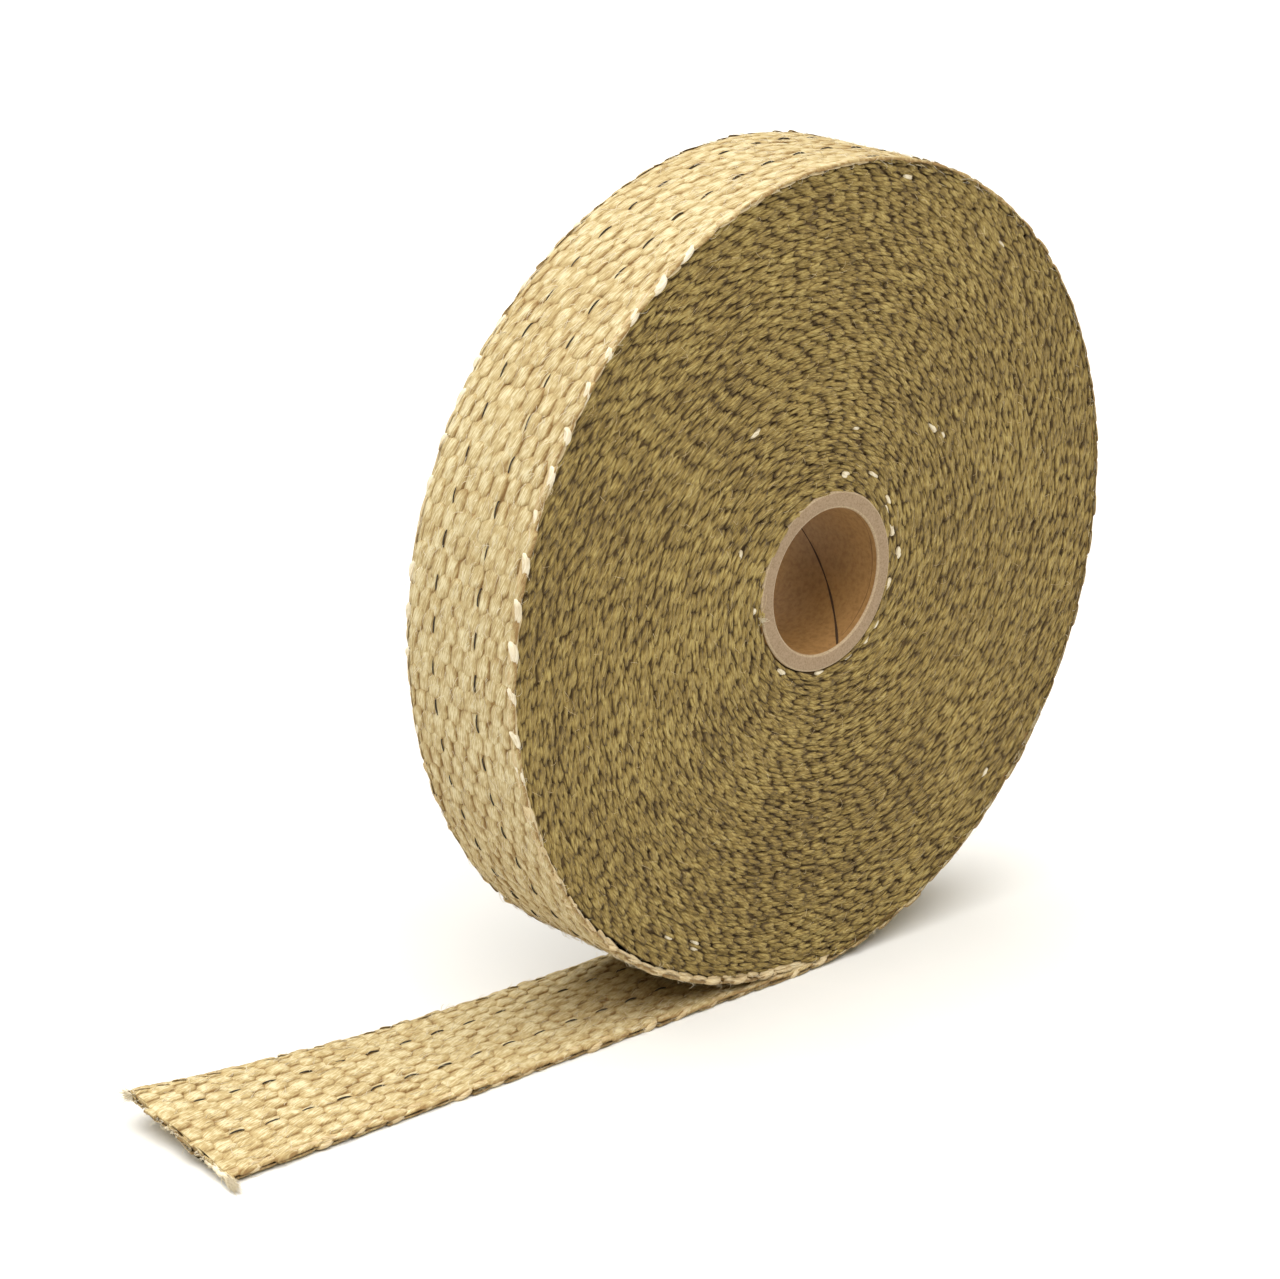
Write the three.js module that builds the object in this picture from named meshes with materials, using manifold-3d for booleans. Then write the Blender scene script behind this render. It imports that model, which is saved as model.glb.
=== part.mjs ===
// Roll of woven glass-fibre exhaust heat wrap on a paper core, standing on its rim.
// The last turn comes down the right side, passes under the roll and runs out flat to the left.
// Millimetres, +Z up. The roll's axis runs along Y, and the origin is on the floor straight below it.

import * as THREE from "three";
import { mergeVertices } from "three/addons/utils/BufferGeometryUtils.js";
import Module from "manifold-3d";

const wasm = await Module();
wasm.setup();

// Tape
const tapeWidth = 25.4;
const tapeThickness = 1.5; // where it lies loose, in the last turn and the free end
const woundPitch = 1.14; // what one turn takes up where the tape is pulled tight
const turns = 50;

// Paper core
const coreBore = 26;
const coreWall = 3;
const coreInset = 0.2; // each end stands this far inside the tape's edges
const coreChamfer = 0.4;
const coreClearance = 0.3; // between the core and the first turn

// Turns that show on the ends, as ridges with a groove between them
const turnsPerRidge = 2;
const grooveDepth = 0.8;

// Free end
const freeLength = 124.5; // from below the roll's axis to the cut
const curlLength = 80; // the part next to the cut that curls up
const farCornerLift = 4.6;
const nearCornerLift = 0.4;
const contactHalf = 4; // the tape is pressed flat this far each way from below the axis

// Low on the left the last turn has come loose from the one under it
const looseGap = 1.1;
const looseThickness = 1.25;
const looseFrom = 288; // degrees round from the bottom, by way of the right side and the top
const looseTo = 351;

// How finely round shapes are cut, and how far joined shapes reach into each other
const roundSegments = 40;
const curlSteps = 6;
const bite = 0.35;

const coreLength = tapeWidth - 2 * coreInset;
const coreRadius = coreBore / 2 + coreWall;
const boreRadius = coreRadius + coreClearance;
const rollRadius = boreRadius + (turns - 1) * woundPitch;
const axisHeight = tapeThickness + rollRadius;
const halfWidth = tapeWidth / 2;
const fullTurn = 360;
const degreesPerSide = fullTurn / roundSegments;

// A point in the side view (x to the right, z up), at an angle round from the roll's lowest line.
function around(radius, degrees) {
  const angle = THREE.MathUtils.degToRad(degrees);
  return new THREE.Vector2(radius * Math.sin(angle), axisHeight - radius * Math.cos(angle));
}

// Points on a curve round the roll, one at each of its corners, where radiusAt gives the radius.
function arcPoints(radiusAt, fromDegrees, toDegrees) {
  const steps = Math.round(Math.abs(toDegrees - fromDegrees) / degreesPerSide);
  return Array.from({ length: steps + 1 }, (_, i) => {
    const degrees = THREE.MathUtils.lerp(fromDegrees, toDegrees, i / steps);
    return around(radiusAt(degrees), degrees);
  });
}

// Closed geometry as a solid that can be joined and cut.
function solidOf(geometry) {
  const bare = geometry.clone();
  bare.deleteAttribute("normal");
  bare.deleteAttribute("uv");
  const merged = mergeVertices(bare);
  return new wasm.Manifold(
    new wasm.Mesh({
      numProp: 3,
      vertProperties: merged.getAttribute("position").array,
      triVerts: new Uint32Array(merged.index.array),
    }),
  );
}

// A joined or cut solid as three.js geometry.
function geometryOf(solid) {
  const { numProp, numVert, vertProperties, triVerts } = solid.getMesh();
  const positions = new Float32Array(numVert * 3);
  for (let i = 0; i < numVert; i++) {
    positions.set(vertProperties.subarray(i * numProp, i * numProp + 3), i * 3);
  }
  const geometry = new THREE.BufferGeometry();
  geometry.setAttribute("position", new THREE.BufferAttribute(positions, 3));
  geometry.setIndex(new THREE.BufferAttribute(triVerts, 1));
  geometry.computeVertexNormals();
  return geometry;
}

// Every turn but the last: one turned solid with its bore, its turns showing as rings on both ends.
function woundTurns() {
  const ridges = Math.max(1, Math.round((turns - 1) / turnsPerRidge));
  const ridgeWidth = (rollRadius - boreRadius) / ridges;
  const valley = halfWidth - grooveDepth;
  const end = [new THREE.Vector2(boreRadius, valley)];
  for (let i = 0; i < ridges; i++) {
    const inner = boreRadius + i * ridgeWidth;
    end.push(new THREE.Vector2(inner + ridgeWidth / 2, halfWidth));
    end.push(new THREE.Vector2(inner + ridgeWidth, valley));
  }
  const otherEnd = end.map((p) => new THREE.Vector2(p.x, -p.y));
  const profile = [...end].reverse().concat(otherEnd);
  return new THREE.LatheGeometry([...profile, profile[0]], roundSegments).translate(0, 0, axisHeight);
}

// How far the last turn stands off the ones under it at an angle.
function standOff(degrees) {
  const share = THREE.MathUtils.clamp((degrees - looseFrom) / (looseTo - looseFrom), 0, 1);
  return looseGap * Math.sin(Math.PI * share) ** 2;
}

// The outside of the last turn where it lies tight. It runs in by one thickness over a full turn.
function spiralRadius(degrees) {
  return rollRadius + tapeThickness * (1 - degrees / fullTurn);
}

// The strip's places along the curl at the cut end, with each edge's lift.
function curlStations() {
  return Array.from({ length: curlSteps + 1 }, (_, i) => {
    const x = -freeLength + (i * curlLength) / curlSteps;
    const share = (1 - i / curlSteps) ** 2;
    return {
      outer: new THREE.Vector2(x, 0),
      inner: new THREE.Vector2(x, tapeThickness),
      nearLift: nearCornerLift * share,
      farLift: farCornerLift * share,
    };
  });
}

// The strip's places round the roll, reaching a little into the turns under it.
function turnStations() {
  const outside = arcPoints((a) => spiralRadius(a) + standOff(a), degreesPerSide, looseTo);
  const inside = arcPoints(() => rollRadius - bite, degreesPerSide, looseTo);
  return outside.map((outer, i) => ({ outer, inner: inside[i] }));
}

// The last turn, and the free end it leaves by, from the cut end on.
function lastTurnAndFreeEnd() {
  return ribbon([
    ...curlStations(),
    { outer: new THREE.Vector2(-contactHalf, 0), inner: new THREE.Vector2(-contactHalf, tapeThickness) },
    { outer: new THREE.Vector2(contactHalf, 0), inner: around(rollRadius - bite, degreesPerSide / 2) },
    ...turnStations(),
  ]);
}

// A closed strip of the tape's width, through places that give its outer and inner side.
function ribbon(stations) {
  const positions = stations.flatMap(({ outer, inner, nearLift = 0, farLift = 0 }) => [
    ...[outer.x, -halfWidth, outer.y + nearLift],
    ...[outer.x, halfWidth, outer.y + farLift],
    ...[inner.x, halfWidth, inner.y + farLift],
    ...[inner.x, -halfWidth, inner.y + nearLift],
  ]);
  const last = 4 * (stations.length - 1);
  const index = [0, 2, 1, 0, 3, 2, last, last + 1, last + 2, last, last + 2, last + 3];
  for (let i = 0; i < last; i++) {
    const next = i % 4 === 3 ? i - 3 : i + 1;
    index.push(i, next, next + 4, i, next + 4, i + 4);
  }
  const geometry = new THREE.BufferGeometry();
  geometry.setAttribute("position", new THREE.Float32BufferAttribute(positions, 3));
  return geometry.setIndex(index);
}

// The slot between the loose part of the last turn and the turns under it.
function looseSlot() {
  const under = (a) => spiralRadius(a) - looseThickness;
  const outline = [
    ...arcPoints((a) => under(a) + standOff(a), looseFrom, looseTo),
    ...arcPoints(under, looseTo, looseFrom).slice(1, -1),
  ];
  const width = tapeWidth + 2 * bite;
  const slot = new THREE.ExtrudeGeometry(new THREE.Shape(outline), { depth: width, bevelEnabled: false });
  return slot.rotateX(Math.PI / 2).translate(0, width / 2, 0);
}

// The tape is one woven piece from its first turn to its cut end.
function tape() {
  const solid = solidOf(woundTurns())
    .add(solidOf(lastTurnAndFreeEnd()))
    .subtract(solidOf(looseSlot()));
  const material = new THREE.MeshStandardMaterial({ color: 0xc9ab74, roughness: 0.9, metalness: 0 });
  const mesh = new THREE.Mesh(geometryOf(solid), material);
  mesh.name = "heat_wrap_tape";
  return mesh;
}

// Spiral-wound paper tube with broken edges.
function core() {
  const innerRadius = coreBore / 2;
  const half = coreLength / 2;
  const profile = [
    new THREE.Vector2(innerRadius, -half + coreChamfer),
    new THREE.Vector2(innerRadius + coreChamfer, -half),
    new THREE.Vector2(coreRadius - coreChamfer, -half),
    new THREE.Vector2(coreRadius, -half + coreChamfer),
    new THREE.Vector2(coreRadius, half - coreChamfer),
    new THREE.Vector2(coreRadius - coreChamfer, half),
    new THREE.Vector2(innerRadius + coreChamfer, half),
    new THREE.Vector2(innerRadius, half - coreChamfer),
  ];
  const geometry = new THREE.LatheGeometry([...profile, profile[0]], roundSegments);
  const material = new THREE.MeshStandardMaterial({ color: 0x9a7650, roughness: 0.85, metalness: 0 });
  const mesh = new THREE.Mesh(geometry, material);
  mesh.position.z = axisHeight;
  mesh.name = "paper_core";
  return mesh;
}

const roll = new THREE.Group();
roll.add(tape(), core());

export default roll;
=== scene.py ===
"""Looks for a roll of woven glass-fibre exhaust heat wrap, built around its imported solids.

Sizes in the classes are millimetres, and Blender's are metres. The roll's axis runs along Y, the end that
the camera sees faces -Y, and the tape's free end runs out along -X. A place on the tape is given by how far
along it is from the cut end, how far across, and how high above the tape's middle, out from the roll.
"""

import logging
import math
from dataclasses import dataclass, field
from enum import Enum

import bpy
import numpy as np
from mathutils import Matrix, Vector

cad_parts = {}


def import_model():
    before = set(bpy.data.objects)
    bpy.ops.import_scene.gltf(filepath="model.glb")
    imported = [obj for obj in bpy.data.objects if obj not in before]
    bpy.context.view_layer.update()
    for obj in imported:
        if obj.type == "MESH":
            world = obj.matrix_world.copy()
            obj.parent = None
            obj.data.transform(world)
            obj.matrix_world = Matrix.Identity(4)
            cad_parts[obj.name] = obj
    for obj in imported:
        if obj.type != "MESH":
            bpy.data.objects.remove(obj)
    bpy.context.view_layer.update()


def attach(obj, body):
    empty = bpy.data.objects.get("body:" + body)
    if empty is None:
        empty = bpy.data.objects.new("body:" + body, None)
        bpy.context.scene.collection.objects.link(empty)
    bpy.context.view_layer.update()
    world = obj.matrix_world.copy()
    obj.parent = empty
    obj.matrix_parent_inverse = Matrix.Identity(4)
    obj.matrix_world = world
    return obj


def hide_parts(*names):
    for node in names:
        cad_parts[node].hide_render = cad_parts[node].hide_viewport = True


MM = 0.001
TURN = 360.0
LOG = logging.getLogger("heat_wrap_roll")

# Undyed strands that stand out on the near end: degrees round the roll from its lowest line, and radius.
FLECKS = (
    *((144, 67.4), (214, 35.5), (331, 66.1), (336, 66.0), (338, 66.0), (47, 66.9), (133, 18.6), (128, 17.6)),
    *((78, 17.2), (43, 17.2), (27, 17.0), (2, 16.9), (329, 17.0), (151, 19.4), (175, 19.0), (250, 22.9)),
    *((55, 16.9), (278, 16.8), (170, 69.5), (135, 34.2), (129, 35.6), (170, 27.1), (95, 17.3), (112, 17.5)),
)


class Side(Enum):
    """The tape's two sides: OUTER faces away from the roll, and down to the floor in the free end."""

    OUTER = 1
    INNER = -1


class RollEnd(Enum):
    """The roll's two ends, by their direction along Y."""

    NEAR = -1
    FAR = 1


def linear(code: str) -> tuple[float, float, float, float]:
    """Turns an sRGB hex colour to linear light.

    Args:
        code: Six hex digits, with or without a hash.

    Returns:
        Red, green, blue and full alpha, from 0 to 1.
    """
    digits = code.lstrip("#")
    channels = [int(digits[i : i + 2], 16) / 255 for i in (0, 2, 4)]
    light = [c / 12.92 if c <= 0.04045 else ((c + 0.055) / 1.055) ** 2.4 for c in channels]
    return (*light, 1.0)


def add_node(
    tree: bpy.types.NodeTree, kind: str, inputs: dict | None = None, **settings: object
) -> bpy.types.Node:
    """Adds one node, with its settings and what feeds it.

    Args:
        tree: The node tree to add it to.
        kind: Blender's name for the node's type.
        inputs: Socket name or number to a value, or to the output socket that feeds it.
        **settings: The node's own properties.

    Returns:
        The new node.
    """
    node = tree.nodes.new(kind)
    for name, value in settings.items():
        setattr(node, name, value)
    for key, value in (inputs or {}).items():
        if isinstance(value, bpy.types.NodeSocket):
            tree.links.new(value, node.inputs[key])
        else:
            node.inputs[key].default_value = value
    return node


def set_ramp(node: bpy.types.Node, stops: list[tuple[float, str]]) -> bpy.types.NodeSocket:
    """Gives a colour ramp its stops.

    Args:
        node: The colour ramp node.
        stops: Places from 0 to 1, each with its hex colour.

    Returns:
        The ramp's colour output.
    """
    elements = node.color_ramp.elements
    while len(elements) < len(stops):
        elements.new(0.5)
    for element, (place, code) in zip(elements, stops):
        element.position = place
        element.color = linear(code)
    return node.outputs["Color"]


def empty_material(name: str) -> tuple[bpy.types.NodeTree, bpy.types.Material]:
    """Makes a material with no nodes.

    Args:
        name: The material's name.

    Returns:
        Its node tree, and the material.
    """
    made = bpy.data.materials.new(name)
    made.use_nodes = True
    made.node_tree.nodes.clear()
    return made.node_tree, made


@dataclass(frozen=True)
class GlassYarn:
    """Textured E-glass yarn with a tan heat-set size, loosely spun and woven.

    It gives the eye soft plump strands with fine broken fibres along them, a dull sheen, a tone that drifts
    from yarn to yarn, and painted shade: feet painted darker where one yarn dips under the next.
    """

    name: str
    light: str
    middle: str
    dark: str
    fibre_across: float = 0.26
    fibre_along: float = 2.0
    tone_patch: float = 1.9
    drifts_per_metre: float = 45.0
    slant: float = 16.0
    relief: float = 0.2
    fibre_share: float = 1.05
    patch_share: float = 0.5
    drift_share: float = 0.2
    painted_foot_shade_share: float = 0.34
    roughness: float = 0.85
    sheen: float = 0.12

    def material(self) -> bpy.types.Material:
        """Builds the material.

        Returns:
            The new material.
        """
        tree, made = empty_material(self.name)
        place = add_node(tree, "ShaderNodeTexCoord")
        yarn = {
            "Vector": place.outputs["UV"],
            "Rotation": (0.0, 0.0, math.radians(self.slant)),
            "Scale": (self.fibre_along, self.fibre_across, 1.0),
        }
        along_yarn = add_node(tree, "ShaderNodeMapping", yarn, vector_type="TEXTURE")
        fine = {"Vector": along_yarn.outputs["Vector"], "Scale": 1.0, "Detail": 4.0, "Roughness": 0.65}
        fibres = add_node(tree, "ShaderNodeTexNoise", fine)
        patch = {"Vector": place.outputs["Object"], "Scale": 1 / (self.tone_patch * MM), "Detail": 2.0}
        patches = add_node(tree, "ShaderNodeTexNoise", patch)
        wide = {"Vector": place.outputs["Object"], "Scale": self.drifts_per_metre, "Detail": 2.0}
        drift = add_node(tree, "ShaderNodeTexNoise", wide)
        # Painted shade: the rise attribute is low at each yarn's foot, and the colour darkens there.
        rise = add_node(tree, "ShaderNodeAttribute", attribute_name="rise")
        shares = (
            (fibres.outputs[0], self.fibre_share),
            (patches.outputs[0], self.patch_share),
            (drift.outputs[0], self.drift_share),
            (rise.outputs["Fac"], self.painted_foot_shade_share),
        )
        # Noise lies round 0.5 and most of a yarn's top round 0.75, so the tone comes out round the middle.
        noise_share = self.fibre_share + self.patch_share + self.drift_share
        tone: object = -0.5 * noise_share - 0.75 * self.painted_foot_shade_share + 0.5
        for source, share in shares:
            sum_so_far = {0: source, 1: share, 2: tone}
            tone = add_node(tree, "ShaderNodeMath", sum_so_far, operation="MULTIPLY_ADD").outputs[0]
        ramp = add_node(tree, "ShaderNodeValToRGB", {"Fac": tone})
        colour = set_ramp(ramp, [(0.25, self.dark), (0.5, self.middle), (0.72, self.light)])
        uneven = {"Height": fibres.outputs[0], "Strength": 0.9, "Distance": self.relief * MM}
        bump = add_node(tree, "ShaderNodeBump", uneven)
        surface = {
            "Base Color": colour,
            "Roughness": self.roughness,
            "IOR": 1.55,
            "Sheen Weight": self.sheen,
            "Sheen Roughness": 0.5,
            "Sheen Tint": linear("f3e3bd"),
            "Normal": bump.outputs[0],
        }
        shader = add_node(tree, "ShaderNodeBsdfPrincipled", surface)
        add_node(tree, "ShaderNodeOutputMaterial", {"Surface": shader.outputs[0]})
        return made


@dataclass(frozen=True)
class PaperBoard:
    """Spiral-wound kraft paper tube.

    It gives the eye a smooth matt brown with faint fibre flecks inside, and a greyer, soft cut edge.
    """

    name: str
    base: str
    fleck: str
    fibre: float = 0.9
    relief: float = 0.05

    def material(self) -> bpy.types.Material:
        """Builds the material.

        Returns:
            The new material.
        """
        tree, made = empty_material(self.name)
        place = add_node(tree, "ShaderNodeTexCoord")
        fine = {
            "Vector": place.outputs["Object"],
            "Scale": 1 / (self.fibre * MM),
            "Detail": 5.0,
            "Roughness": 0.6,
        }
        flecks = add_node(tree, "ShaderNodeTexNoise", fine)
        ramp = add_node(tree, "ShaderNodeValToRGB", {"Fac": flecks.outputs[0]})
        colour = set_ramp(ramp, [(0.35, self.fleck), (0.6, self.base)])
        uneven = {"Height": flecks.outputs[0], "Strength": 0.35, "Distance": self.relief * MM}
        bump = add_node(tree, "ShaderNodeBump", uneven)
        surface = {"Base Color": colour, "Roughness": 0.7, "IOR": 1.5, "Normal": bump.outputs[0]}
        shader = add_node(tree, "ShaderNodeBsdfPrincipled", surface)
        add_node(tree, "ShaderNodeOutputMaterial", {"Surface": shader.outputs[0]})
        return made


@dataclass(frozen=True)
class Matt:
    """Any plain matt surface of one colour with faint mottling, such as a painted board or a shaded gap."""

    name: str
    base: str
    shade: str
    mottle: float = 3.0
    roughness: float = 0.95

    def material(self) -> bpy.types.Material:
        """Builds the material.

        Returns:
            The new material.
        """
        tree, made = empty_material(self.name)
        place = add_node(tree, "ShaderNodeTexCoord")
        patch = {"Vector": place.outputs["Object"], "Scale": 1 / (self.mottle * MM), "Detail": 3.0}
        noise = add_node(tree, "ShaderNodeTexNoise", patch)
        ramp = add_node(tree, "ShaderNodeValToRGB", {"Fac": noise.outputs[0]})
        colour = set_ramp(ramp, [(0.3, self.shade), (0.7, self.base)])
        surface = {"Base Color": colour, "Roughness": self.roughness}
        shader = add_node(tree, "ShaderNodeBsdfPrincipled", surface)
        add_node(tree, "ShaderNodeOutputMaterial", {"Surface": shader.outputs[0]})
        return made


def make_mesh(
    name: str,
    corners: np.ndarray,
    quads: np.ndarray,
    uv: np.ndarray,
    materials: list[bpy.types.Material],
    slots: np.ndarray | None = None,
    rise: np.ndarray | None = None,
) -> bpy.types.Object:
    """Makes a smooth-shaded mesh object out of four-sided faces.

    Args:
        name: The piece's name.
        corners: Places in millimetres, one row each.
        quads: Four corner numbers for each face.
        uv: Distance along and across the yarn in millimetres, one row for each corner.
        materials: The piece's materials.
        slots: Each face's material number, or None where there is one material.
        rise: How high each corner stands on its yarn, from 0 at the foot to 1 at the crown, or None.

    Returns:
        The new object, in the scene.
    """
    mesh = bpy.data.meshes.new(name)
    mesh.vertices.add(len(corners))
    mesh.vertices.foreach_set("co", (corners * MM).astype(np.float32).ravel())
    mesh.loops.add(quads.size)
    mesh.loops.foreach_set("vertex_index", quads.astype(np.int32).ravel())
    mesh.polygons.add(len(quads))
    mesh.polygons.foreach_set("loop_start", np.arange(0, quads.size, 4, dtype=np.int32))
    for material in materials:
        mesh.materials.append(material)
    if slots is not None:
        mesh.polygons.foreach_set("material_index", slots.astype(np.int32))
    mesh.update(calc_edges=True)
    layer = mesh.uv_layers.new(name="UVMap")
    layer.data.foreach_set("uv", uv[quads.ravel()].astype(np.float32).ravel())
    if rise is not None:
        layer = mesh.attributes.new("rise", "FLOAT", "POINT")
        layer.data.foreach_set("value", rise.astype(np.float32).ravel())
    mesh.shade_smooth()
    made = bpy.data.objects.new(name, mesh)
    bpy.context.scene.collection.objects.link(made)
    return made


def patch_faces(shape: tuple[int, ...], flip: bool, close: bool = False) -> np.ndarray:
    """Numbers the faces of many grids of corners at once.

    Args:
        shape: How many grids, and each one's corners along and across.
        flip: Whether the faces look the other way.
        close: Whether each grid's last column joins its first, as in a tube.

    Returns:
        Four corner numbers for each face.
    """
    number = np.arange(shape[0] * shape[1] * shape[2]).reshape(shape[:3])
    if close:
        number = np.concatenate([number, number[:, :, :1]], axis=2)
    ring = [number[:, :-1, :-1], number[:, 1:, :-1], number[:, 1:, 1:], number[:, :-1, 1:]]
    quads = np.stack(ring, axis=-1).reshape(-1, 4)
    return quads[:, ::-1] if flip else quads


def pillow(
    steps: tuple[int, int], bluntness: float, reach: float
) -> tuple[np.ndarray, np.ndarray, np.ndarray]:
    """Gives the grid that every plump yarn is drawn on.

    Args:
        steps: Corners along and across.
        bluntness: How square the ends are: 2 is an ellipse.
        reach: How far round the sides come, in degrees from the crown.

    Returns:
        Place along from -1 to 1, angle round, and swell from 0 at the ends to 1 in the middle.
    """
    u = np.sin(np.linspace(-np.pi / 2, np.pi / 2, steps[0]) * 0.999)[None, :, None]
    v = np.radians(np.linspace(-reach, reach, steps[1]))[None, None, :]
    return u, v, (1 - np.abs(u) ** bluntness) ** 0.5


@dataclass
class TapeRun:
    """The line that the tape's middle follows, from its cut end to its first turn on the core."""

    width: float = 25.4
    thickness: float = 1.5
    wound_pitch: float = 1.14
    half_repeat: float = 3.55
    turns: float = 49.8
    roll_radius: float = 72.16
    axis_height: float = 73.66
    free_length: float = 124.5
    curl_length: float = 80.0
    far_lift: float = 4.6
    near_lift: float = 0.4
    loose_gap: float = 0.6
    loose_from: float = 288.0
    loose_to: float = 351.0
    wobble: float = 0.22
    floor_gap: float = 0.02
    _angles: np.ndarray = field(init=False, repr=False)
    _lengths: np.ndarray = field(init=False, repr=False)

    def __post_init__(self) -> None:
        """Works out how far along the tape each angle is."""
        self._angles = np.linspace(0, TURN * self.turns, int(self.turns * 720) + 1)
        radius = self.radius(self._angles)
        steps = (radius[1:] + radius[:-1]) / 2 * np.radians(np.diff(self._angles))
        self._lengths = self.free_length + np.concatenate([[0.0], np.cumsum(steps)])

    @property
    def length(self) -> float:
        """The tape's whole length, from the cut end to its first turn."""
        return float(self._lengths[-1])

    def radius(self, angle: np.ndarray) -> np.ndarray:
        """Gives the radius of the tape's middle.

        Args:
            angle: Degrees round from the roll's lowest line, by way of the right side, then the top.

        Returns:
            The radius at each angle.
        """
        turn = angle / TURN
        first = np.clip(turn, 0, 1)
        outside = self.roll_radius + self.thickness * (1 - first) - self.wound_pitch * np.maximum(0, turn - 1)
        thick = self.thickness + (self.wound_pitch - self.thickness) * first
        share = np.clip((angle - self.loose_from) / (self.loose_to - self.loose_from), 0, 1)
        # The wound turns waver a little, and not at all at the core and the rim.
        deep = np.sin(np.pi * np.clip((outside - 17) / 54, 0, 1))
        around = np.radians(angle)
        uneven = np.sin(3 * around + outside / 9) + 0.6 * np.sin(5 * around - outside / 6)
        return outside - thick / 2 + self.loose_gap * np.sin(np.pi * share) ** 2 + self.wobble * deep * uneven

    def angle(self, along: np.ndarray) -> np.ndarray:
        """Gives the angle round the roll, in degrees, at a distance along the tape."""
        return np.interp(along, self._lengths, self._angles)

    def along(self, angle: float) -> float:
        """Gives the distance along the tape at an angle round the roll, in degrees."""
        return float(np.interp(angle, self._angles, self._lengths))

    def cells(self, start: float, stop: float) -> np.ndarray:
        """Numbers the weave's half repeats between two places along the tape."""
        return np.arange(math.ceil(start / self.half_repeat), int(stop / self.half_repeat) + 1)

    def place(self, along: np.ndarray, across: np.ndarray, height: np.ndarray) -> np.ndarray:
        """Gives the places of points on the tape.

        Args:
            along: Distance from the cut end.
            across: Distance from the middle of the tape's width, towards +Y.
            height: Distance above the tape's middle, out from the roll.

        Returns:
            X, Y and Z in millimetres, along the last axis.
        """
        along, across, height = np.broadcast_arrays(along, across, height)
        flat_x = along - self.free_length
        share = np.clip((self.curl_length - along) / self.curl_length, 0, 1) ** 2
        lift = self.near_lift + (self.far_lift - self.near_lift) * (across / self.width + 0.5)
        flat_z = self.thickness / 2 - height + lift * share
        angle = self.angle(along)
        radius = self.radius(angle) + height
        turned = np.radians(angle)
        flat = along <= self.free_length
        x = np.where(flat, flat_x, radius * np.sin(turned))
        z = np.where(flat, flat_z, self.axis_height - radius * np.cos(turned))
        return np.stack([x, across, np.maximum(z, self.floor_gap)], axis=-1)


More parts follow.
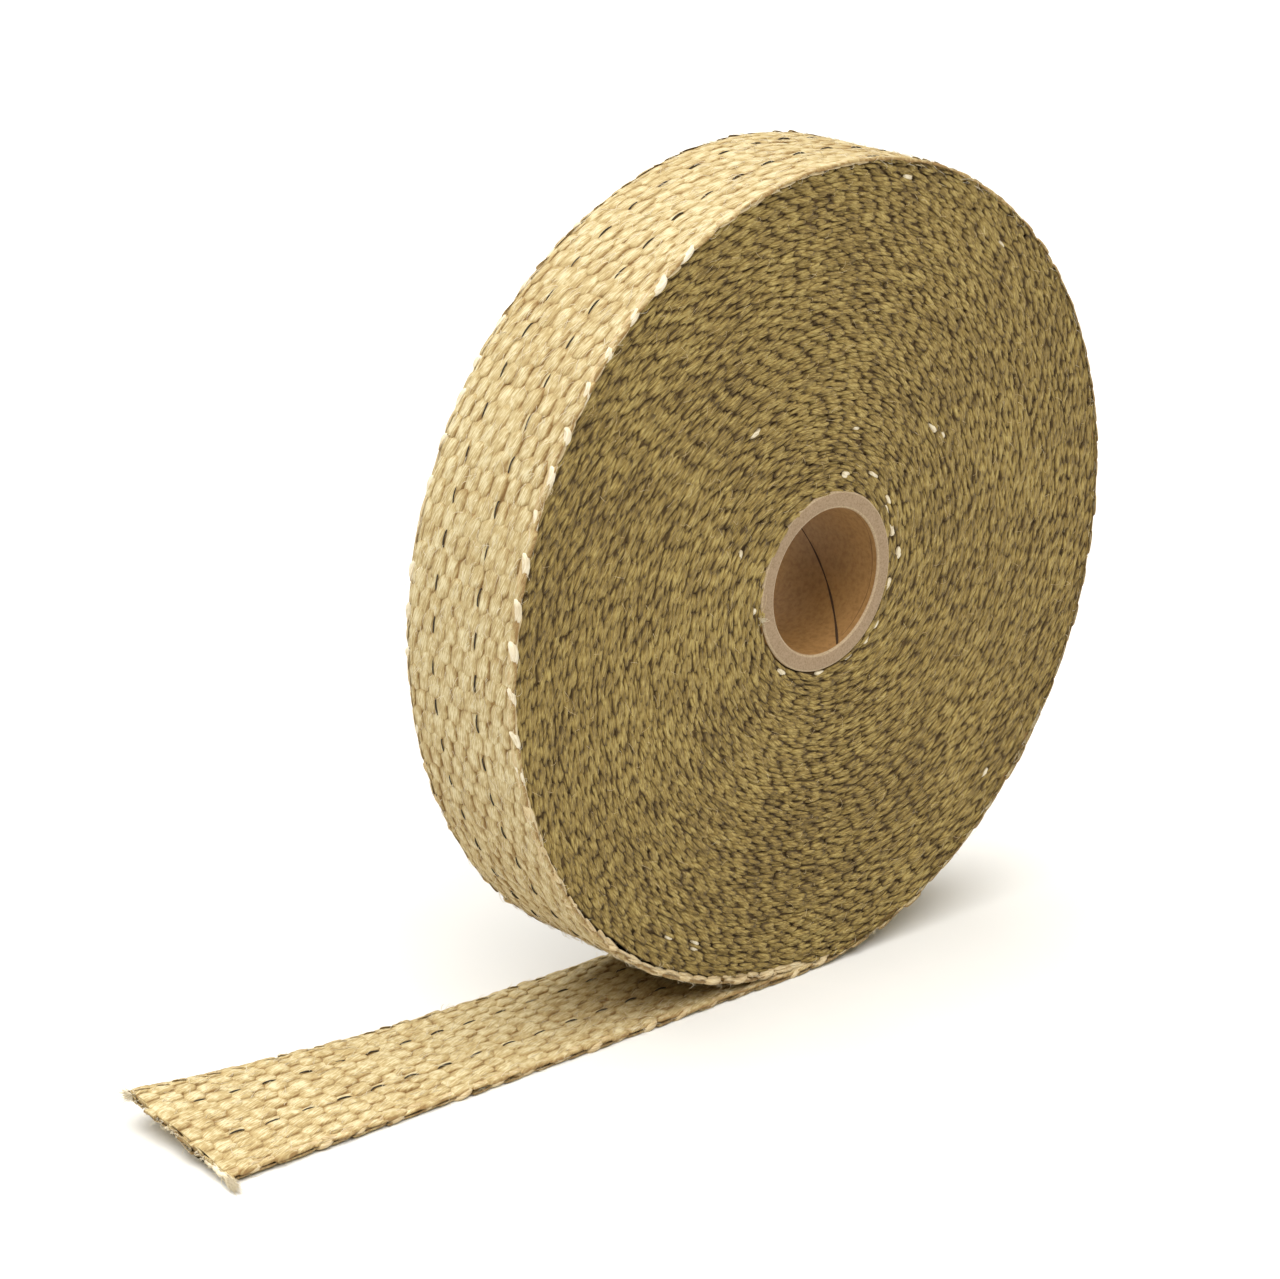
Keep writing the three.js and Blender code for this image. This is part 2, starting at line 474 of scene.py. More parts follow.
@dataclass
class Weave:
    """The woven faces of the tape: plump lengthwise yarns that float over and under hidden cross yarns.

    In each column every second yarn comes up, and spreads until it meets the next. The columns take turns
    between two sets of meeting lines. The odd ones hold one thin yarn, beside the darker tracer thread.
    """

    run: TapeRun
    even_lines: tuple[float, ...] = (-0.15, 2.58, 5.3, 8.4, 11.7, 14.65, 17.5, 20.25, 22.9, 25.35)
    odd_lines: tuple[float, ...] = (-0.05, 1.3, 3.95, 6.68, 8.86, 9.96, 13.25, 16.1, 18.85, 21.6, 24.1, 25.35)
    float_length: float = 4.9
    overlap: float = 1.07
    shear: float = 0.34
    cut: float = -1.4
    crown: float = 0.62
    root: float = 0.2
    near_side_up: float = 0.05
    thin_below: float = 1.4
    thin_share: float = 0.84
    drift: float = 0.3
    drift_across: float = 0.1
    scatter_along: float = 0.16
    scatter_across: float = 0.05
    scatter_size: float = 0.07
    scatter_cut: float = 0.38
    steps: tuple[int, int] = (10, 8)
    seed: int = 7

    def rows(self) -> tuple[np.ndarray, np.ndarray, np.ndarray]:
        """Gives each float's place across, its width and its phase.

        Returns:
            Distance from the middle of the tape, width, and 0 or 1 for the columns it comes up in.
        """
        sets = [np.array(lines) - self.run.width / 2 for lines in (self.even_lines, self.odd_lines)]
        middle = np.concatenate([(lines[1:] + lines[:-1]) / 2 for lines in sets])
        width = np.concatenate([np.diff(lines) for lines in sets])
        phase = np.repeat([0, 1], [len(lines) - 1 for lines in sets])
        return middle, width, phase

    def floats(
        self, name: str, side: Side, start: float, stop: float, material: bpy.types.Material
    ) -> bpy.types.Object:
        """Builds the yarns that show on one side of a stretch of the tape.

        Args:
            name: The piece's name.
            side: Which side of the tape.
            start: Where the stretch starts, along the tape.
            stop: Where it stops.
            material: The yarn's material.

        Returns:
            The new piece.
        """
        rng = np.random.default_rng(self.seed + side.value)
        middle, width, phase = self.rows()
        grids = np.meshgrid(np.arange(len(middle)), self.run.cells(start, stop))
        row, column = (grid.ravel() for grid in grids)
        up = (phase[row] + column) % 2 == (0 if side is Side.OUTER else 1)
        row, column = row[up], column[up]
        count = len(row)
        centre_y = middle[row]
        centre_s = column * self.run.half_repeat
        drift = np.sin(centre_s / 31), np.sin(centre_y / 5 + centre_s / 17)
        centre_s = centre_s + self.drift * drift[0] + self.drift * drift[1]
        centre_s = centre_s + rng.normal(0, self.scatter_along, count)
        centre_y = centre_y + self.drift_across * np.sin(centre_s / 13 + row * 1.7)
        centre_y = centre_y + rng.normal(0, self.scatter_across, count)
        size = rng.normal(1, self.scatter_size, (3, count))[:, :, None, None]
        yaw = rng.normal(0.03, 0.04, count)[:, None, None]
        tilt = rng.normal(0, 0.08, (2, count))[:, :, None, None]
        # Each yarn is a blunt pillow. It leans, narrows at its feet and meets its neighbours at its sides.
        u, v, swell = pillow(self.steps, 3.8, 97)
        spread = 0.4 + 0.6 * (1 - np.abs(u) ** 6) ** 0.5
        half_length = self.float_length / 2 * size[0]
        half_width = width[row][:, None, None] / 2 * self.overlap * size[1] * spread
        offset_y = half_width * np.sign(np.sin(v)) * np.abs(np.sin(v)) ** 0.85
        lean = self.shear + rng.normal(0, 0.12, count)[:, None, None]
        along = centre_s[:, None, None] + half_length * u + (lean - yaw) * offset_y
        along = np.maximum(along, self.cut + rng.normal(0, self.scatter_cut, count)[:, None, None])
        across = centre_y[:, None, None] + offset_y + yaw * half_length * u
        rise = swell * np.sign(np.cos(v)) * np.abs(np.cos(v)) ** 0.4
        thin = np.where(width[row] < self.thin_below, self.thin_share, 1.0)[:, None, None]
        height = self.root + (self.crown * size[2] * thin - self.root) * rise + tilt[0] * u * rise
        height = height + (tilt[1] - self.near_side_up) * np.sin(v)
        points = self.run.place(along, across, side.value * height)
        offset = rng.uniform(0, 500, (2, count))[:, :, None, None]
        uv = np.stack(np.broadcast_arrays(offset[0] + half_length * u, offset[1] + offset_y), axis=-1)
        faces = patch_faces(points.shape, flip=side is Side.INNER)
        # Painted shade: this softer rise darkens each float's sides and ends, where it meets its neighbours.
        tone = np.broadcast_to(swell * np.maximum(np.cos(v), 0) ** 0.8, points.shape[:3])
        return make_mesh(name, points.reshape(-1, 3), faces, uv.reshape(-1, 2), [material], rise=tone)


@dataclass
class EdgeYarns:
    """The tape's edges, as they show on the roll's ends: two-ply yarn in short slanted strands.

    The strands wander along the edge in slow waves, each given by its size, its length and where it starts.
    The last turn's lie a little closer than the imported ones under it.
    """

    run: TapeRun
    strand_length: float = 4.3
    strand_width: float = 1.08
    strand_apart: float = 0.56
    ply_lag: float = 0.7
    proud: float = 0.56
    seat: float = 11.92
    slant: float = 9.0
    last_turn_closer: float = 0.14
    closes_over: float = 60.0
    fleck_shorter: float = 0.45
    fleck_reach: float = 2.5
    waves: tuple[tuple[float, float, float], ...] = ((1.3, 47, 0), (1.1, 83, 1), (0.8, 29, 2))
    seed: int = 11

    def strands(
        self,
        name: str,
        end: RollEnd,
        start: float,
        stop: float,
        materials: list[bpy.types.Material],
        steps: tuple[int, int] = (7, 4),
        flecks: tuple[tuple[float, float], ...] = (),
    ) -> bpy.types.Object:
        """Builds the strands along one edge of a stretch of the tape.

        Args:
            name: The piece's name.
            end: Which end of the roll the edge is on.
            start: Where the stretch starts, along the tape.
            stop: Where it stops.
            materials: The common yarn, then the whiter one.
            steps: Corners along and across each strand.
            flecks: Degrees round the roll and radius of the strands that are whiter.

        Returns:
            The new piece.
        """
        rng = np.random.default_rng(self.seed + end.value)
        cell = np.repeat(self.run.cells(start, stop), 2)
        ply = np.tile([-0.5, 0.5], len(cell) // 2)
        count = len(cell)
        even = cell * self.run.half_repeat + ply * self.ply_lag + rng.normal(0, 0.2, count)
        centre = even
        for swing, wave, begin in self.waves:
            centre = centre + swing * np.sin(even / wave + begin)
        angle = self.run.angle(centre)
        loose = 1 - self.last_turn_closer * np.clip((TURN - angle) / self.closes_over, 0, 1)
        slant = np.radians(rng.normal(self.slant, 7, count))[:, None, None]
        size = rng.normal(1, 0.15, (3, count))[:, :, None, None]
        middle = (ply * self.strand_apart * loose + rng.normal(0, 0.06, count))[:, None, None]
        white = np.zeros(count, int)
        radius = self.run.radius(angle) + ply * self.strand_apart
        for degrees, out in flecks:
            turn = (angle - degrees + TURN / 2) % TURN - TURN / 2
            apart = np.hypot(radius - out, np.radians(turn) * radius)
            if apart.min() < self.fleck_reach:
                white[int(apart.argmin())] = 1
        u, v, swell = pillow(steps, 2.8, 105)
        half_length = self.strand_length / 2 * size[0] * (1 - self.fleck_shorter * white)[:, None, None]
        half_width = (self.strand_width / 2 * loose)[:, None, None] * size[1] * (0.3 + 0.7 * swell)
        beside = half_width * np.sin(v)
        along = centre[:, None, None] + half_length * u * np.cos(slant) - beside * np.sin(slant)
        height = middle + half_length * u * np.sin(slant) * 0.55 + beside * np.cos(slant)
        loop = np.where(cell % 2 == 0, 1.0, 0.8)[:, None, None]
        ragged = 0.14 * np.sin(angle / TURN * 2.3)[:, None, None] + rng.normal(0, 0.08, count)[:, None, None]
        rise = swell * np.cos(v)
        pitch = rng.normal(0.0, 0.14, count)[:, None, None] + np.sign(ply)[:, None, None] * 0.1
        across = end.value * (self.seat + ragged + pitch * u + self.proud * loop * size[2] * rise)
        points = self.run.place(along, across, height)
        offset = rng.uniform(0, 500, (2, count))[:, :, None, None]
        uv = np.stack(np.broadcast_arrays(offset[0] + half_length * u, offset[1] + half_width * v), axis=-1)
        faces = patch_faces(points.shape, flip=end is RollEnd.FAR)
        slots = np.repeat(white, len(faces) // count)
        # Painted shade: the rise darkens each strand's feet in the material.
        rise = np.broadcast_to(rise, points.shape[:3])
        return make_mesh(name, points.reshape(-1, 3), faces, uv.reshape(-1, 2), materials, slots, rise)


@dataclass
class Body:
    """Painted-shade sheets under the yarns that show: the wound turns' inside and the strip of the last turn.
    """

    run: TapeRun
    half_thickness: float = 0.24
    half_width: float = 12.2
    past_cut: float = 1.2
    past_lowest: float = 3.0
    ring_outer: float = 70.7
    ring_inner: float = 16.25
    ring_half: float = 11.88
    segments: int = 160

    def strip(
        self, name: str, start: float, stop: float, step: float, material: bpy.types.Material
    ) -> bpy.types.Object:
        """Builds a closed strip along the tape.

        Args:
            name: The piece's name.
            start: Where it starts, along the tape.
            stop: Where it stops.
            step: How long its faces are.
            material: Its material.

        Returns:
            The new piece.
        """
        along = np.linspace(start, stop, max(2, int((stop - start) / step)))[None, :, None]
        columns = np.array([-1, -0.5, 0, 0.5, 1, 1, 0.5, 0, -0.5, -1])[None, None, :] * self.half_width
        heights = np.repeat([1, -1], 5)[None, None, :] * self.half_thickness
        points = self.run.place(along, columns, heights)
        faces = patch_faces(points.shape, flip=False, close=True)
        sides = columns.size
        last = (points.shape[1] - 1) * sides
        caps = [[k, k + 1, sides - 2 - k, sides - 1 - k] for k in range(sides // 2 - 1)]
        caps += [[last + c for c in reversed(cap)] for cap in caps]
        faces = np.concatenate([faces, np.array(caps)])
        uv = np.stack(np.broadcast_arrays(along, columns), axis=-1)
        return make_mesh(name, points.reshape(-1, 3), faces, uv.reshape(-1, 2), [material])

    def ring(self, name: str, material: bpy.types.Material) -> bpy.types.Object:
        """Builds the closed ring under the ends' yarns.

        Args:
            name: The piece's name.
            material: Its material.

        Returns:
            The new piece.
        """
        profile = [(self.ring_inner, -self.ring_half), (self.ring_outer, -self.ring_half)]
        profile += [(self.ring_outer, self.ring_half), (self.ring_inner, self.ring_half)]
        return turned_ring(name, profile, self.run.axis_height, self.segments, [material])


def turned_ring(
    name: str,
    profile: list[tuple[float, float]],
    axis_height: float,
    segments: int,
    materials: list[bpy.types.Material],
    profile_slots: list[int] | None = None,
) -> bpy.types.Object:
    """Turns a closed profile round the roll's axis.

    Args:
        name: The piece's name.
        profile: Radius and Y of each corner, going out along -Y first and back in along +Y.
        axis_height: Height of the axis.
        segments: How many steps round.
        materials: The piece's materials.
        profile_slots: The material number of the face that starts at each corner.

    Returns:
        The new piece.
    """
    turned = np.linspace(0, 2 * np.pi, segments, endpoint=False)[:, None]
    radius = np.array([p[0] for p in profile])[None, :]
    across = np.array([p[1] for p in profile])[None, :]
    x, z = radius * np.cos(turned), axis_height + radius * np.sin(turned)
    points = np.stack(np.broadcast_arrays(x, across, z), axis=-1)
    corners = len(profile)
    number = np.arange(segments * corners).reshape(segments, corners)
    ahead = np.roll(number, -1, axis=0)
    ring = [number, ahead, np.roll(ahead, -1, axis=1), np.roll(number, -1, axis=1)]
    faces = np.stack(ring, axis=-1).reshape(-1, 4)
    uv = np.stack(np.broadcast_arrays(turned * radius, across), axis=-1)
    slots = None if profile_slots is None else np.tile(np.array(profile_slots), segments)
    return make_mesh(name, points.reshape(-1, 3), faces, uv.reshape(-1, 2), materials, slots)


@dataclass
class Threads:
    """Round threads along a path: dark tracers, cross yarns at the edges and the cut end, and stray fibres.

    Each thread starts one pattern step further on in its material than the last, so no two look alike.
    """

    run: TapeRun
    tracer_places: tuple[float, ...] = (-3.84, 6.15)
    tracer_radius: float = 0.125
    tracer_swing: float = 0.68
    loop_radius: float = 0.57
    loop_half: float = 1.75
    loop_inset: float = 0.9
    loop_reach: float = 0.72
    past_edge: float = 0.7
    face_height: float = 0.62
    lying_radius: float = 0.05
    edge_radius: float = 0.035
    pattern_step: float = 3.7
    seed: int = 23

    def tubes(
        self, name: str, paths: np.ndarray, radius: np.ndarray, sides: int, material: bpy.types.Material
    ) -> bpy.types.Object:
        """Builds round tubes.

        Args:
            name: The piece's name.
            paths: The tubes' middle points on the tape: tube, point, and along, across and height.
            radius: Each point's radius, as tube and point.
            sides: How many sides each tube has.
            material: Its material.

        Returns:
            The new piece.
        """
        paths = self.run.place(paths[..., 0], paths[..., 1], paths[..., 2])
        ahead = np.gradient(paths, axis=1)
        ahead /= np.linalg.norm(ahead, axis=-1, keepdims=True)
        aside = np.cross(ahead, np.array([0.31, 0.83, 0.46]))
        aside /= np.linalg.norm(aside, axis=-1, keepdims=True)
        over = np.cross(ahead, aside)
        turned = np.linspace(0, 2 * np.pi, sides, endpoint=False)
        ring = aside[:, :, None, :] * np.cos(turned)[None, None, :, None]
        ring = ring + over[:, :, None, :] * np.sin(turned)[None, None, :, None]
        corners = paths[:, :, None, :] + radius[:, :, None, None] * ring
        corners[..., 2] = np.maximum(corners[..., 2], self.run.floor_gap)
        steps = np.linalg.norm(np.diff(paths, axis=1, prepend=paths[:, :1]), axis=-1).cumsum(axis=1)
        around = turned[None, None, :] * radius[:, :, None]
        uv = np.stack(np.broadcast_arrays(steps[:, :, None], around), axis=-1)
        uv = uv + np.arange(len(paths))[:, None, None, None] * self.pattern_step
        faces = patch_faces(corners.shape, flip=False, close=True)
        rise = np.full(corners.shape[:3], 0.75)
        return make_mesh(name, corners.reshape(-1, 3), faces, uv.reshape(-1, 2), [material], rise=rise)

    def tracers(
        self, name: str, start: float, stop: float, material: bpy.types.Material
    ) -> bpy.types.Object:
        """Builds the dark threads that come up between the yarns in every second column of each side.

        Args:
            name: The piece's name.
            start: Where they start, along the tape.
            stop: Where they stop.
            material: The thread's material.

        Returns:
            The new piece.
        """
        along = np.linspace(start, stop, int((stop - start) / 0.5))
        paths = []
        for i, middle in enumerate(self.tracer_places):
            wave = -np.cos(np.pi * along / self.run.half_repeat)
            height = self.tracer_swing * (1 - 0.08 * i) * np.sign(wave) * np.abs(wave) ** 0.4
            sway = 0.1 * np.sin(along / 2.9 + i) + 0.07 * np.sin(along / 1.3)
            paths.append(np.stack([along, middle + sway, height], axis=-1))
        radius = np.full((len(paths), len(along)), self.tracer_radius)
        return self.tubes(name, np.array(paths), radius, 6, material)

    def edge_loops(
        self, name: str, start: float, stop: float, material: bpy.types.Material
    ) -> bpy.types.Object:
        """Builds the cross yarn's turns round both edges, in every second column.

        Args:
            name: The piece's name.
            start: Where they start, along the tape.
            stop: Where they stop.
            material: The yarn's material.

        Returns:
            The new piece.
        """
        rng = np.random.default_rng(self.seed)
        column = self.run.cells(start, stop)
        column = column[column % 2 == 1]
        bend = np.radians(np.linspace(-90, 90, 9))[None, :]
        paths, radius = [], []
        for end in RollEnd:
            jitter = rng.normal(0, 1, (4, len(column), 1))
            centre = column[:, None] * self.run.half_repeat
            along = centre + self.loop_half * np.sin(bend) * (1 + 0.15 * jitter[0]) + 0.25 * jitter[1]
            reach = (self.loop_reach + 0.1 * jitter[2]) * np.cos(bend)
            across = end.value * (self.run.width / 2 - self.loop_inset + reach)
            height = 0.12 + (0.1 * jitter[3] - 0.32) * np.sin(bend)
            paths.append(np.stack([along, across, height], axis=-1))
            taper = 0.35 + 0.65 * np.cos(bend) ** 0.6
            radius.append(self.loop_radius * taper * (1 + 0.15 * rng.normal(0, 1, (len(column), 1))))
        return self.tubes(name, np.concatenate(paths), np.concatenate(radius), 7, material)

    def cross_yarn(
        self, name: str, place: float, reach: float, thick: float, material: bpy.types.Material
    ) -> bpy.types.Object:
        """Builds a cross yarn at the cut end, from a little past the near edge.

        Args:
            name: The piece's name.
            place: Where it lies, along the tape.
            reach: How far from the near edge it goes.
            thick: Its radius at the near edge. It thins towards its other end.
            material: The yarn's material.

        Returns:
            The new piece.
        """
        across = np.linspace(-self.past_edge, reach, 60) - self.run.width / 2
        along = place + 0.1 * np.sin(across * 1.9) + 0.09 * np.sin(across * 4.7)
        path = np.stack([along, across, 0.12 * np.sin(across * 2.2)], axis=-1)
        radius = thick * np.linspace(1, 0.02, len(across)) ** 0.25 + 0.05 * np.sin(across * 3.1)
        return self.tubes(name, path[None], radius[None], 8, material)

    def fibres(
        self,
        name: str,
        start: np.ndarray,
        heading: np.ndarray,
        bow: np.ndarray,
        thick: float,
        material: bpy.types.Material,
    ) -> bpy.types.Object:
        """Builds loose fibres, each from its start along its heading, bowed in the middle.

        Args:
            name: The piece's name.
            start: Where each starts: along, across and height on the tape.
            heading: How far each reaches from there, the same way.
            bow: How far the middle of each stands off, the same way.
            thick: Their radius.
            material: Their material.

        Returns:
            The new piece.
        """
        t = np.linspace(0, 1, 6)[None, :, None]
        paths = start[:, None, :] + heading[:, None, :] * t + bow[:, None, :] * 4 * t * (1 - t)
        radius = np.broadcast_to(thick * (1 - 0.6 * t[..., 0]), paths.shape[:2])
        return self.tubes(name, paths, radius, 3, material)

    def lying_fibres(
        self, name: str, side: Side, start: float, stop: float, count: int, material: bpy.types.Material
    ) -> bpy.types.Object:
        """Builds the fuzz on one side of a stretch of the tape.

        Args:
            name: The piece's name.
            side: Which side of the tape.
            start: Where the stretch starts, along the tape.
            stop: Where it stops.
            count: How many fibres.
            material: Their material.

        Returns:
            The new piece.
        """
        rng = np.random.default_rng(self.seed + 2 + side.value)
        half = self.run.width / 2
        along, across = rng.uniform(start, stop, count), rng.uniform(-half, half, count)
        at = np.stack([along, across, np.full(count, self.face_height)], -1)
        way = rng.normal(0, 0.45, count)
        length = rng.uniform(0.8, 2.8, count)
        lift = rng.exponential(0.16, count)
        heading = np.stack([length * np.cos(way), length * np.sin(way), lift], -1)
        bow = np.stack([rng.normal(0, 0.12, count), rng.normal(0, 0.2, count), 0.1 + 0.5 * lift], -1)
        for array in (at, heading, bow):
            array[:, 2] *= side.value
        return self.fibres(name, at, heading, bow, self.lying_radius, material)

    def edge_fibres(
        self, name: str, start: float, stop: float, count: int, material: bpy.types.Material
    ) -> bpy.types.Object:
        """Builds the fuzz on the near edge of a stretch of the tape, which shows on the roll's end.

        Args:
            name: The piece's name.
            start: Where the stretch starts, along the tape.
            stop: Where it stops.
            count: How many fibres.
            material: Their material.

        Returns:
            The new piece.
        """
        rng = np.random.default_rng(self.seed + 5)
        half = self.run.width / 2
        along, height = rng.uniform(start, stop, count), rng.uniform(-0.6, 0.6, count)
        at = np.stack([along, np.full(count, -half + 0.2), height], -1)
        way = rng.uniform(0, 2 * np.pi, count)
        length = rng.uniform(0.8, 3.2, count)
        out = rng.exponential(0.3, count)
        heading = np.stack([length * np.cos(way), -out, length * np.sin(way) * 0.5], -1)
        bow = np.stack([rng.normal(0, 0.25, count), -0.15 - 0.5 * out, rng.normal(0, 0.2, count)], -1)
        return self.fibres(name, at, heading, bow, self.edge_radius, material)

    def tufts(self, name: str, material: bpy.types.Material) -> bpy.types.Object:
        """Builds the brushes of fibre at the cut end's corners, along the cut and at the start on the core.

        Args:
            name: The piece's name.
            material: Their material.

        Returns:
            The new piece.
        """
        rng = np.random.default_rng(self.seed + 9)
        half = self.run.width / 2
        inner = self.run.length - 1.0
        spots = [
            ((-1.5, -half + 0.5, 0.0), (-0.5, -3.6, -0.15), 0.42, 180),
            ((-1.3, half - 0.9, -0.1), (-1.0, 1.0, 0.1), 0.65, 220),
            ((inner, -half + 0.3, 0.2), (-0.5, -1.0, 0.5), 0.35, 60),
        ]
        along_cut = np.linspace(-half + 1, half - 1, 19)
        spots += [((-1.3, across, 0.0), (-0.8, 0.0, 0.0), 0.3, 9) for across in along_cut]
        starts, headings, bows = [], [], []
        for at, heading, spread, count in spots:
            starts.append(np.array(at) + rng.normal(0, 0.22, (count, 3)))
            length = rng.uniform(0.55, 1.05, (count, 1))
            headings.append(np.array(heading) * length + rng.normal(0, spread, (count, 3)) * length)
            bows.append(rng.normal(0, 0.14, (count, 3)))
        starts, headings, bows = (np.concatenate(part) for part in (starts, headings, bows))
        return self.fibres(name, starts, headings, bows, self.lying_radius, material)


@dataclass
class Core:
    """The spiral-wound paper tube, with softly broken edges and the open seam in its bore."""

    axis_height: float
    bore: float = 26.0
    outside: float = 32.0
    length: float = 25.0
    broken: float = 0.35
    seam_width: float = 0.62
    seam_turn_per_mm: float = 4.66
    seam_angle_at_middle: float = -13.3
    ply_inset: float = 1.3
    line_lift: float = 0.02

    def tube(self, name: str, materials: list[bpy.types.Material]) -> bpy.types.Object:
        """Builds the tube.

        Args:
            name: The piece's name.
            materials: The paper's face, its cut edge, and the edge's broken corners, painted lighter as a
                highlight.

        Returns:
            The new piece.
        """
        inner, outer, half = self.bore / 2, self.outside / 2, self.length / 2
        profile: list[tuple[float, float]] = []
        slots: list[int] = []
        turns = [
            (inner + self.broken, -half + self.broken, 180, 270),
            (outer - self.broken, -half + self.broken, 270, 360),
            (outer - self.broken, half - self.broken, 0, 90),
            (inner + self.broken, half - self.broken, 90, 180),
        ]
        for k, (radius, across, first, last) in enumerate(turns):
            for step in range(5):
                angle = math.radians(first + (last - first) * step / 4)
                out, along = self.broken * math.cos(angle), self.broken * math.sin(angle)
                profile.append((radius + out, across + along))
                slots.append(2 if step < 4 else (1, 0)[k % 2])
        return turned_ring(name, profile, self.axis_height, 144, materials, slots)

    def bore_line(
        self,
        name: str,
        across: np.ndarray,
        angle: np.ndarray,
        width: np.ndarray,
        material: bpy.types.Material,
    ) -> bpy.types.Object:
        """Builds a thin dark line on the wall of the bore.

        Args:
            name: The piece's name.
            across: The line's places along Y.
            angle: The degrees from +X of each place.
            width: The line's width at each place, on the wall or along Y.
            material: Its material.

        Returns:
            The new piece.
        """
        radius = self.bore / 2 - self.line_lift
        flat = np.ptp(across) < 1
        columns = []
        for share in (-0.5, 0.5):
            turned = np.radians(angle) + (0 if flat else share * width / radius)
            place = across + (share * width if flat else 0)
            x, z = radius * np.cos(turned), self.axis_height + radius * np.sin(turned)
            columns.append(np.stack(np.broadcast_arrays(x, place, z), axis=-1))
        points = np.stack(columns, axis=1)[None]
        faces = patch_faces(points.shape, flip=not flat)
        return make_mesh(name, points.reshape(-1, 3), faces, points[..., 1:].reshape(-1, 2), [material])

    def seam(self, name: str, material: bpy.types.Material) -> bpy.types.Object:
        """Builds the dark line where the paper's edges don't quite meet in the bore.

        Args:
            name: The piece's name.
            material: Its material.

        Returns:
            The new piece.
        """
        across = np.linspace(0.45 - self.length / 2, self.length / 2 - 0.45, 40)
        angle = self.seam_angle_at_middle + across * self.seam_turn_per_mm
        width = self.seam_width * (0.8 + 0.2 * np.sin(across * 1.1) - 0.02 * across)
        return self.bore_line(name, across, angle, width, material)

    def ply_line(self, name: str, material: bpy.types.Material) -> bpy.types.Object:
        """Builds the faint line where the innermost ply ends, just inside the near end.

        Args:
            name: The piece's name.
            material: Its material.

        Returns:
            The new piece.
        """
        angle = np.linspace(-60.0, 75.0, 70)
        across = self.ply_inset - self.length / 2 + 0.06 * np.sin(angle / 9)
        return self.bore_line(name, across, angle, 0.16 + 0.05 * np.sin(angle / 7), material)


@dataclass
class Studio:
    """The camera, the lights and the pale floor."""

    focal_px: float = 3251.95
    azimuth: float = -45.40
    elevation: float = 18.51
    distance: float = 543.8
    target: tuple[float, float, float] = (-31.74, 0.0, 65.85)
    roll: float = 3.63
    image_width: float = 1280.0
    light_from: tuple[float, float, float] = (-0.19, -0.1, 1.0)
    light_spread: float = 86.0
    light_strength: float = 5.55
    sky_strength: float = 0.1
    floor_half: float = 4000.0

    def camera(self) -> None:
        """Adds the camera."""
        data = bpy.data.cameras.new("camera")
        data.sensor_fit = "HORIZONTAL"
        data.sensor_width = 36.0
        data.lens = self.focal_px / self.image_width * 36.0
        data.clip_start = 0.01
        made = bpy.data.objects.new("camera", data)
        bpy.context.scene.collection.objects.link(made)
        az, el = math.radians(self.azimuth), math.radians(self.elevation)
        back = Vector((math.sin(az) * math.cos(el), -math.cos(az) * math.cos(el), math.sin(el)))
        made.location = (Vector(self.target) + back * self.distance) * MM
        made.rotation_euler = back.to_track_quat("Z", "Y").to_euler()
        made.rotation_euler.rotate_axis("Z", math.radians(self.roll))
        bpy.context.scene.camera = made

    def lights(self) -> None:
        """Adds one broad soft box overhead, a little to the left and the front, and a faint even sky."""
        sun = bpy.data.lights.new("soft_box", "SUN")
        sun.energy = self.light_strength
        sun.angle = math.radians(self.light_spread)
        sun.color = linear("fffcf7")[:3]
        lamp = bpy.data.objects.new("soft_box", sun)
        lamp.rotation_euler = Vector(self.light_from).to_track_quat("Z", "Y").to_euler()
        bpy.context.scene.collection.objects.link(lamp)
        world = bpy.data.worlds.new("pale_room")
        world.use_nodes = True
        sky = world.node_tree.nodes["Background"].inputs
        sky["Color"].default_value = linear("f7fbff")
        sky["Strength"].default_value = self.sky_strength
        bpy.context.scene.world = world
        bpy.context.scene.view_settings.view_transform = "Standard"

    def floor(self) -> None:
        """Adds the floor."""
        corners = np.array([[-1, -1, 0], [1, -1, 0], [1, 1, 0], [-1, 1, 0]]) * self.floor_half
        paint = Matt("white_painted_board", "e8e8e6", "e5e5e3", mottle=40.0).material()
        made = make_mesh("floor", corners, np.array([[0, 1, 2, 3]]), corners[:, :2], [paint])


def dress(piece: bpy.types.Object) -> bpy.types.Object:
    """Fastens a piece to the roll and reports it.

    Args:
        piece: The piece.

    Returns:
        The piece.
    """
    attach(piece, "root")
    piece.data.calc_loop_triangles()
    LOG.info("%s: %d triangles", piece.name, len(piece.data.loop_triangles))
    return piece


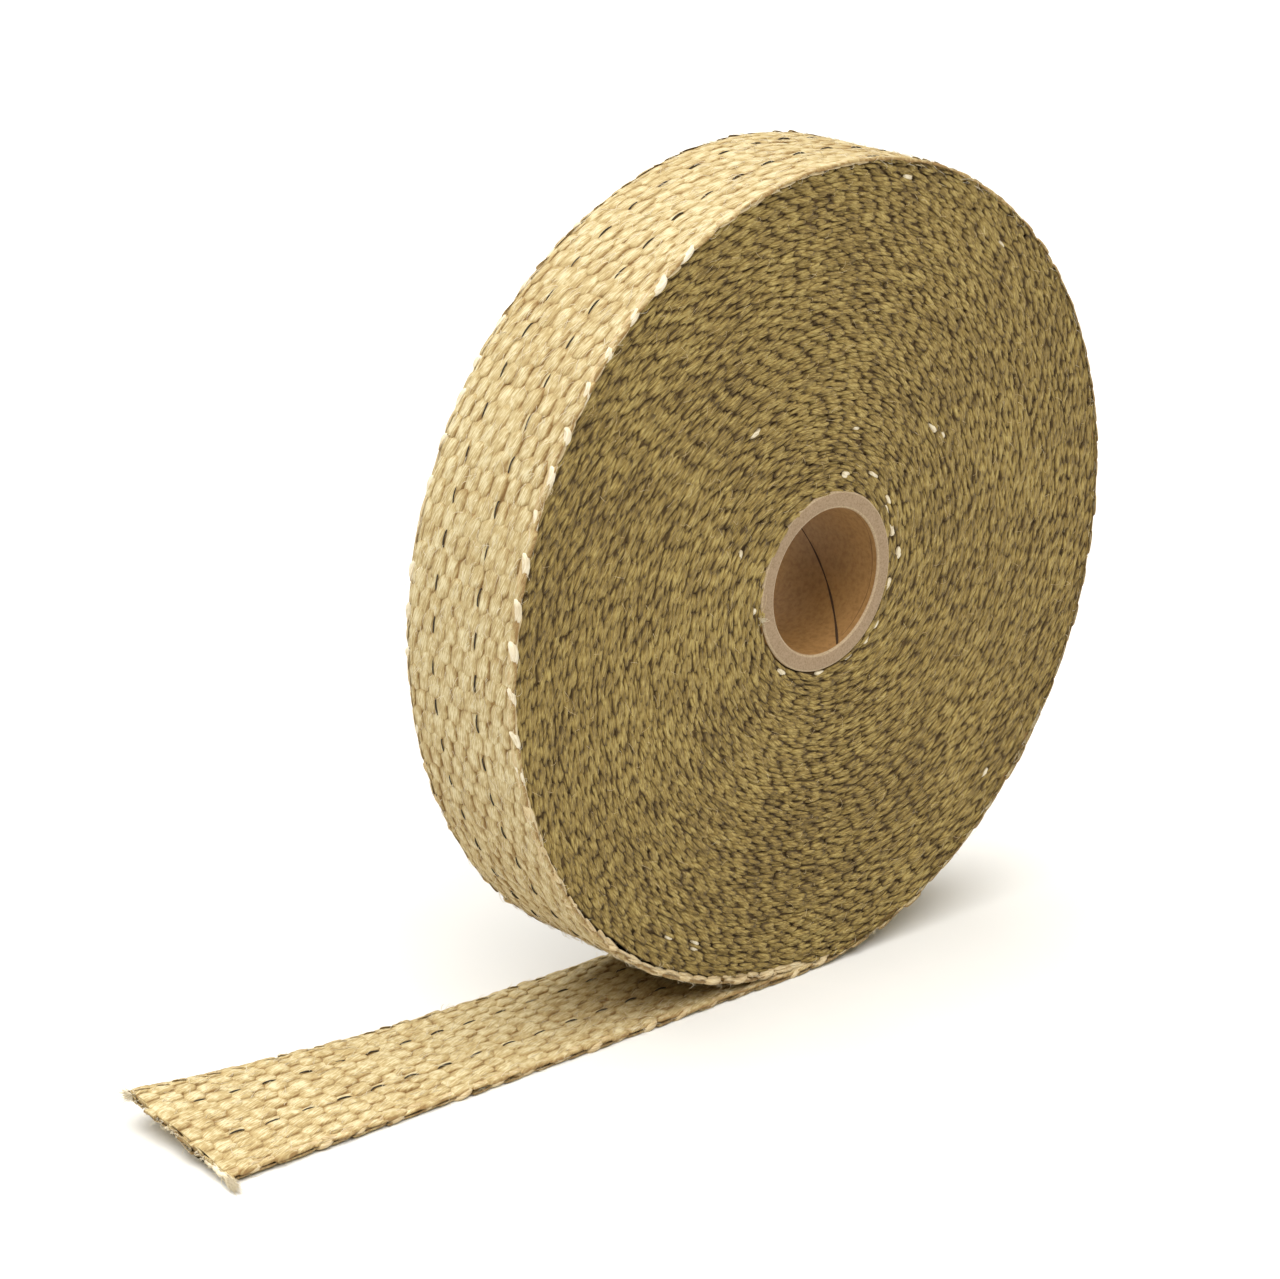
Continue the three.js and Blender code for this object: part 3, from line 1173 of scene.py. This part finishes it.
def main() -> None:
    """Builds the studio, then the tape and the core, piece by piece."""
    logging.basicConfig(level=logging.INFO, format="%(name)s %(message)s")
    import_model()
    studio = Studio()
    studio.camera()
    studio.lights()
    studio.floor()

    tan = GlassYarn(
        "tan_glass_yarn", light="e0d4ac", middle="bba572", dark="8f7040", painted_foot_shade_share=0.36
    ).material()
    edge_tan = GlassYarn(
        "edge_glass_yarn", light="e4d5ae", middle="d0b98c", dark="b09464", painted_foot_shade_share=0.1
    ).material()
    # Painted shade: a darker copy of the yarn for the wound ends, which lie in shade.
    shaded = GlassYarn(
        "wound_edge_glass_yarn_painted_shade", light="bba562", middle="8d7538", dark="4c3912", painted_foot_shade_share=0.55
    ).material()
    white = GlassYarn(
        "undyed_glass_yarn", light="f3ebd6", middle="e4d8bb", dark="bfac86", relief=0.06
    ).material()
    # Painted shade: both grounds are darker than the yarn, standing in for shaded yarn seen in the gaps.
    ground = GlassYarn(
        "tan_glass_ground_painted_shade", light="c3a468", middle="a98a50", dark="8f7040", sheen=0.0
    ).material()
    deep = GlassYarn(
        "wound_glass_ground_painted_shade", light="8a7038", middle="70582c", dark="5a441e", sheen=0.0
    ).material()
    tracer = Matt("black_glass_thread", "463e33", "27221b", mottle=0.6).material()
    paper = PaperBoard("kraft_paper_face", "9a7340", "866233").material()
    cut_paper = PaperBoard("kraft_paper_cut_edge", "a48c70", "8d7657", fibre=0.35).material()
    # Painted highlight: the broken corners of the cut edge are a lighter paper.
    broken_paper = PaperBoard("kraft_paper_broken_corner_painted_highlight", "b8a284", "a08a68", fibre=0.3).material()
    seam = Matt("open_seam", "4a3216", "33220f").material()
    ply = Matt("ply_edge", "7d5c38", "6a4c2c").material()

    run = TapeRun()
    body, weave, edges, threads = Body(run), Weave(run), EdgeYarns(run), Threads(run)
    roll_from = run.free_length
    last_turn = run.along(356.0)
    second_turn = run.along(TURN)
    middle = run.along(TURN * 20)
    rising, falling, undyed_from, undyed_to = (run.along(angle) for angle in (8.0, 178.0, 212.0, 290.0))
    near, far, over, under = RollEnd.NEAR, RollEnd.FAR, Side.INNER, Side.OUTER

    free_end = body.strip("free_end_body", -body.past_cut, roll_from + body.past_lowest, 2.0, ground)
    pieces = [
        body.ring("wound_turns_body", deep),
        body.strip("last_turn_body", roll_from, last_turn, 2.0, ground),
        free_end,
        weave.floats("last_turn_weave", under, roll_from, last_turn, tan),
        weave.floats("free_end_weave_under", under, -3.6, roll_from, tan),
        weave.floats("free_end_weave_over", over, -3.6, roll_from + 4, tan),
        edges.strands("free_end_near_edge", near, 0.0, rising, [edge_tan, white]),
        # Painted shade: the last turn's right-hand edge lies in shade and takes the darker copy.
        edges.strands("last_turn_near_edge_right", near, rising, falling, [shaded, white]),
        edges.strands("last_turn_near_edge_left", near, falling, second_turn, [edge_tan, white]),
        edges.strands("near_end_outer_turns", near, second_turn, middle, [shaded, white], flecks=FLECKS),
        edges.strands("near_end_inner_turns", near, middle, run.length, [shaded, white], flecks=FLECKS),
        edges.strands("last_turn_far_edge", far, 0.0, second_turn, [edge_tan, white]),
        edges.strands("far_end_turns", far, second_turn, run.length, [shaded, white], steps=(6, 3)),
        threads.tracers("tracer_threads", 1.5, last_turn, tracer),
        threads.edge_loops("cross_yarn_turns_low", 2.0, rising, edge_tan),
        threads.edge_loops("cross_yarn_turns_undyed", undyed_from, undyed_to, white),
        threads.edge_loops("cross_yarn_turns_loose", undyed_to, last_turn, edge_tan),
        threads.cross_yarn("last_cross_yarn", -0.9, run.width, 0.45, tan),
        threads.cross_yarn("bared_cross_yarn", -1.45, 5.5, 0.5, white),
        threads.lying_fibres("last_turn_fuzz", under, run.along(15.0), last_turn, 2500, white),
        threads.lying_fibres("free_end_fuzz", over, 1.0, roll_from, 700, white),
        threads.edge_fibres("last_turn_edge_fuzz", 1.0, second_turn, 420, white),
        threads.edge_fibres("near_end_fuzz", second_turn, run.length, 700, edge_tan),
        threads.tufts("frayed_ends", white),
    ]
    for piece in pieces:
        dress(piece)
    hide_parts("heat_wrap_tape")

    core = Core(run.axis_height)
    tube = core.tube("core_tube", [paper, cut_paper, broken_paper])
    for piece in (tube, core.seam("core_seam", seam), core.ply_line("core_ply_line", ply)):
        dress(piece)
    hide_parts("paper_core")


if __name__ == "__main__":
    main()
